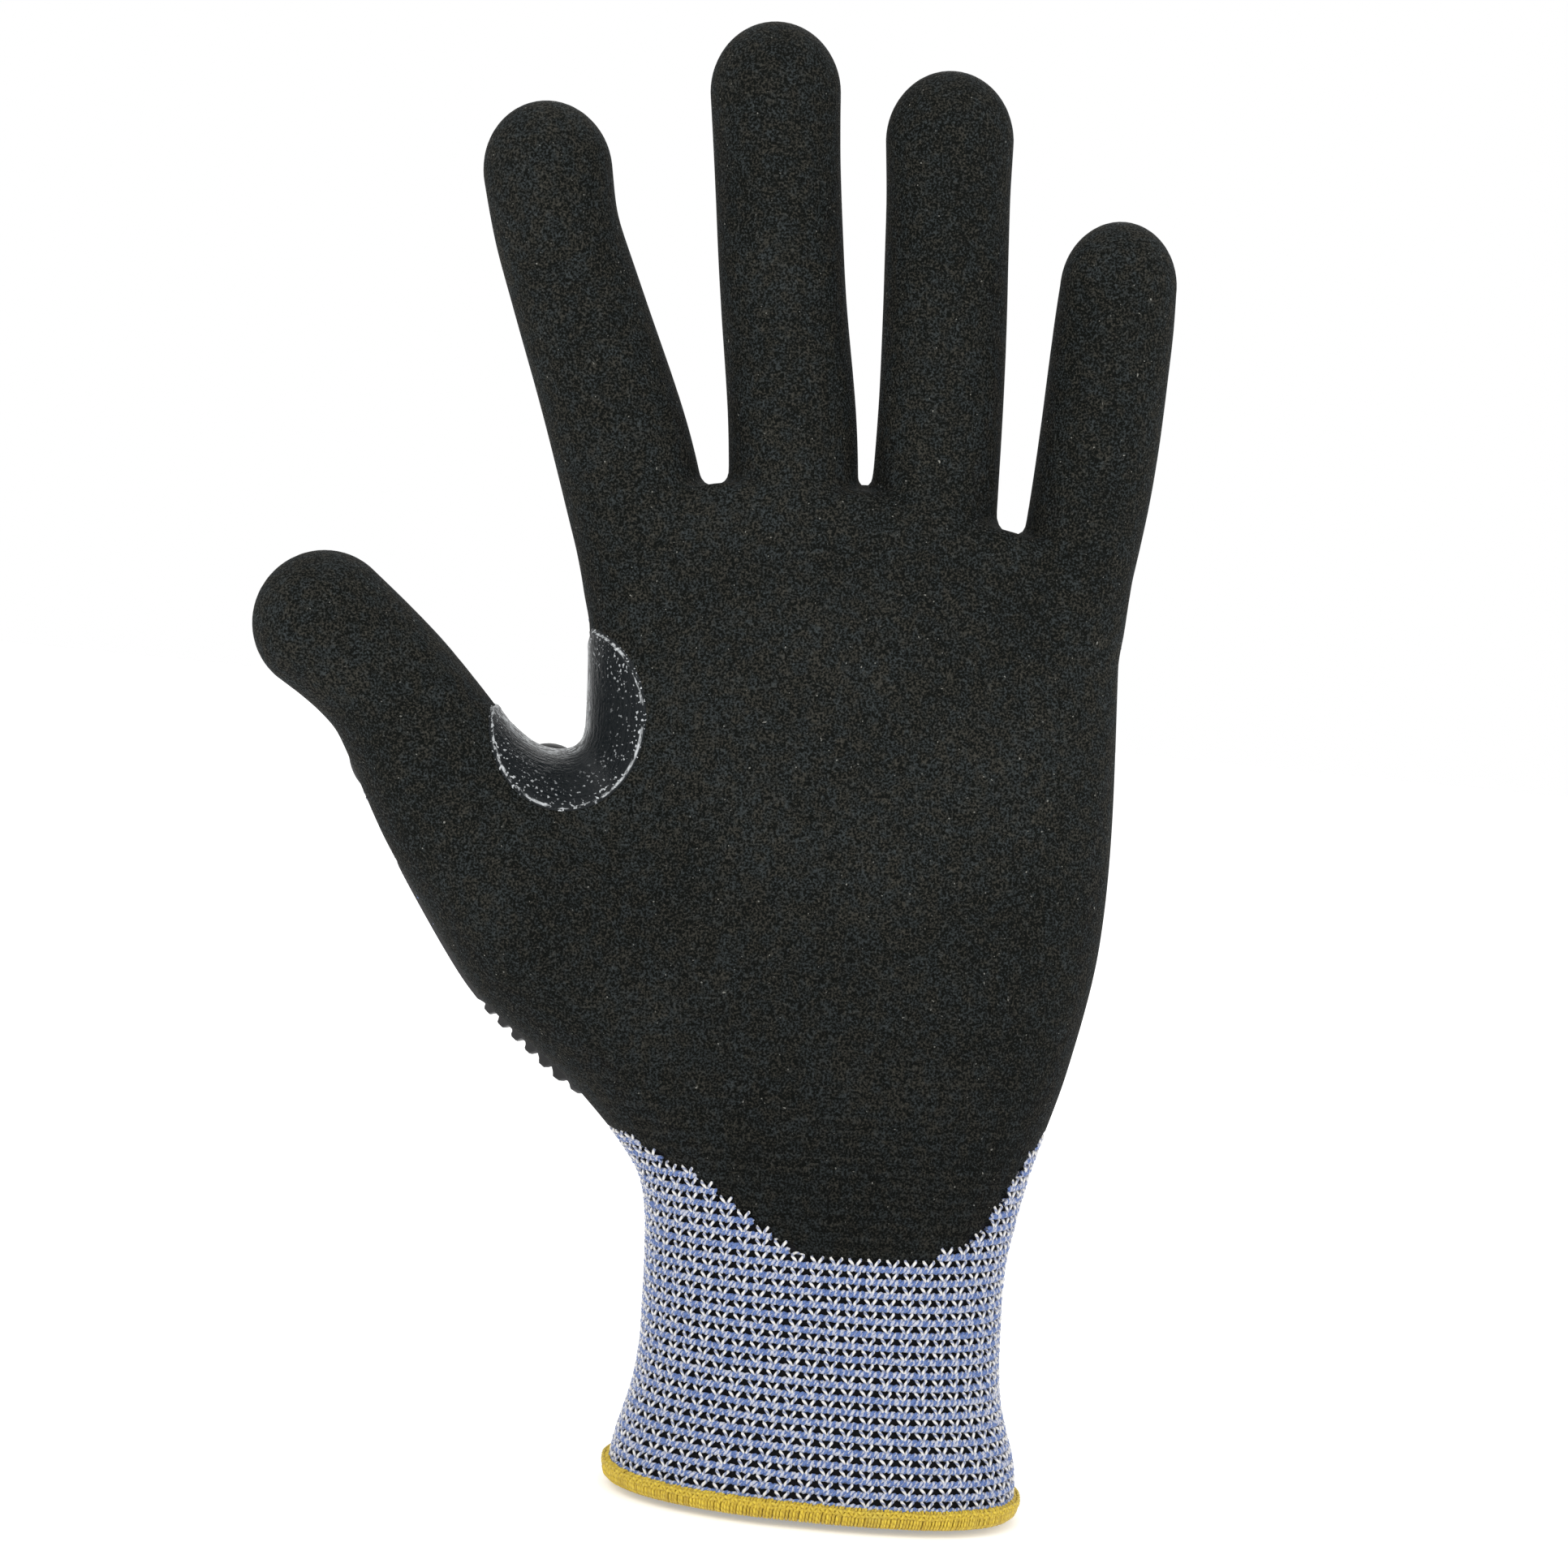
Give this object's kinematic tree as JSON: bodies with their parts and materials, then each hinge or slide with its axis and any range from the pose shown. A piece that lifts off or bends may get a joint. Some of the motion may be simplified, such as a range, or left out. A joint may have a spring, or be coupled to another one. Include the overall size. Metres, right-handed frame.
{
  "type": "cut resistant glove",
  "caption": "Left-hand cut resistant work glove with coated palm and fingers, knitted cuff, bound hem and moulded bumpers on the back; fingers, thumb and wrist bend.",
  "frame": {"origin": "centre of the wrist opening in the plane that the hem stands on", "axes": "+Z from the cuff to the fingertips, -Y out of the palm, +Y out of the back of the hand, -X towards the thumb"},
  "size_m": [0.1407, 0.0496, 0.2329],
  "materials": {
    "knit": "marled blue, cream and black cut resistant knit",
    "coating": "matt black sandy nitrile",
    "patch": "glossy black reinforcement",
    "bumper": "satin black moulded rubber",
    "hem": "yellow overlocked elastic thread"
  },
  "bodies": {
    "cuff": {"cuff_liner": "knit", "hem_binding": "hem", "wrist_fold_back": "knit", "wrist_fold_palm": "knit"},
    "hand": {"hand_liner": "knit", "knuckle_bumper": "bumper", "metacarpal_bumper": "bumper", "palm_coating": "coating", "thumb_crotch_patch": "patch", "thumb_edge_bumper": "bumper"},
    "index_proximal": {"index_proximal_bumper": "bumper", "index_proximal_coating": "coating", "index_proximal_liner": "knit"},
    "index_middle": {"index_middle_bumper": "bumper", "index_middle_coating": "coating", "index_middle_liner": "knit"},
    "index_distal": {"index_distal_bumper": "bumper", "index_distal_coating": "coating", "index_distal_liner": "knit"},
    "middle_proximal": {"middle_proximal_bumper": "bumper", "middle_proximal_coating": "coating", "middle_proximal_liner": "knit"},
    "middle_middle": {"middle_middle_bumper": "bumper", "middle_middle_coating": "coating", "middle_middle_liner": "knit"},
    "middle_distal": {"middle_distal_bumper": "bumper", "middle_distal_coating": "coating", "middle_distal_liner": "knit"},
    "ring_proximal": {"ring_proximal_bumper": "bumper", "ring_proximal_coating": "coating", "ring_proximal_liner": "knit"},
    "ring_middle": {"ring_middle_bumper": "bumper", "ring_middle_coating": "coating", "ring_middle_liner": "knit"},
    "ring_distal": {"ring_distal_bumper": "bumper", "ring_distal_coating": "coating", "ring_distal_liner": "knit"},
    "little_proximal": {"little_proximal_bumper": "bumper", "little_proximal_coating": "coating", "little_proximal_liner": "knit"},
    "little_middle": {"little_middle_bumper": "bumper", "little_middle_coating": "coating", "little_middle_liner": "knit"},
    "little_distal": {"little_distal_bumper": "bumper", "little_distal_coating": "coating", "little_distal_liner": "knit"},
    "thumb_proximal": {"thumb_proximal_bumper": "bumper", "thumb_proximal_coating": "coating", "thumb_proximal_liner": "knit"},
    "thumb_distal": {"thumb_distal_bumper": "bumper", "thumb_distal_coating": "coating", "thumb_distal_liner": "knit"}
  },
  "joints": [
    {"name": "wrist_bend", "type": "hinge", "parent": "cuff", "child": "hand", "pos_m": [0.0004, 0, 0.034], "axis": [1, 0, 0], "range_deg": [-35, 35], "stiffness_Nm_per_rad": 1.4, "deforming": ["wrist_fold_palm", "wrist_fold_back"]},
    {"name": "index_mcp", "type": "hinge", "parent": "hand", "child": "index_proximal", "pos_m": [-0.0345, -0.0059, 0.1554], "axis": [1, 0, 0], "range_deg": [0, 75], "stiffness_Nm_per_rad": 0.05},
    {"name": "index_pip", "type": "hinge", "parent": "index_proximal", "child": "index_middle", "pos_m": [-0.0429, -0.00639, 0.17722], "axis": [0.9437, 0, 0.3308], "range_deg": [0, 75], "stiffness_Nm_per_rad": 0.03},
    {"name": "index_dip", "type": "hinge", "parent": "index_middle", "child": "index_distal", "pos_m": [-0.04941, -0.00718, 0.19762], "axis": [0.9719, 0, 0.2355], "range_deg": [0, 45], "stiffness_Nm_per_rad": 0.015},
    {"name": "middle_mcp", "type": "hinge", "parent": "hand", "child": "middle_proximal", "pos_m": [-0.0109, -0.0059, 0.1592], "axis": [1, 0, 0], "range_deg": [0, 75], "stiffness_Nm_per_rad": 0.05},
    {"name": "middle_pip", "type": "hinge", "parent": "middle_proximal", "child": "middle_middle", "pos_m": [-0.01337, -0.00639, 0.18322], "axis": [0.9949, 0, 0.1009], "range_deg": [0, 75], "stiffness_Nm_per_rad": 0.03},
    {"name": "middle_dip", "type": "hinge", "parent": "middle_middle", "child": "middle_distal", "pos_m": [-0.01577, -0.00719, 0.20717], "axis": [0.9965, 0, 0.0833], "range_deg": [0, 45], "stiffness_Nm_per_rad": 0.015},
    {"name": "ring_mcp", "type": "hinge", "parent": "hand", "child": "ring_proximal", "pos_m": [0.011, -0.0059, 0.157], "axis": [1, 0, 0], "range_deg": [0, 75], "stiffness_Nm_per_rad": 0.05},
    {"name": "ring_pip", "type": "hinge", "parent": "ring_proximal", "child": "ring_middle", "pos_m": [0.0113, -0.00619, 0.18022], "axis": [1, 0, -0.002], "range_deg": [0, 75], "stiffness_Nm_per_rad": 0.03},
    {"name": "ring_dip", "type": "hinge", "parent": "ring_middle", "child": "ring_distal", "pos_m": [0.01111, -0.00699, 0.20316], "axis": [0.9999, 0, 0.0153], "range_deg": [0, 45], "stiffness_Nm_per_rad": 0.015},
    {"name": "little_mcp", "type": "hinge", "parent": "hand", "child": "little_proximal", "pos_m": [0.0344, -0.0056, 0.1534], "axis": [1, 0, 0], "range_deg": [0, 75], "stiffness_Nm_per_rad": 0.05},
    {"name": "little_pip", "type": "hinge", "parent": "little_proximal", "child": "little_middle", "pos_m": [0.03677, -0.00579, 0.17072], "axis": [0.9943, 0, -0.1069], "range_deg": [0, 75], "stiffness_Nm_per_rad": 0.03},
    {"name": "little_dip", "type": "hinge", "parent": "little_middle", "child": "little_distal", "pos_m": [0.03809, -0.00619, 0.18719], "axis": [0.9991, 0, -0.0423], "range_deg": [0, 45], "stiffness_Nm_per_rad": 0.015},
    {"name": "thumb_mcp", "type": "hinge", "parent": "hand", "child": "thumb_proximal", "pos_m": [-0.05962, -0.01245, 0.10974], "axis": [0.7103, 0.4184, 0.5661], "range_deg": [0, 30], "stiffness_Nm_per_rad": 0.05},
    {"name": "thumb_ip", "type": "hinge", "parent": "thumb_proximal", "child": "thumb_distal", "pos_m": [-0.07245, -0.01393, 0.12693], "axis": [0.7128, 0.4189, 0.5625], "range_deg": [0, 60], "stiffness_Nm_per_rad": 0.03}
  ],
  "couplings": [
    {"joint": "index_dip", "follows": "index_pip", "ratio": 0.6},
    {"joint": "middle_dip", "follows": "middle_pip", "ratio": 0.6},
    {"joint": "ring_dip", "follows": "ring_pip", "ratio": 0.6},
    {"joint": "little_dip", "follows": "little_pip", "ratio": 0.6}
  ]
}
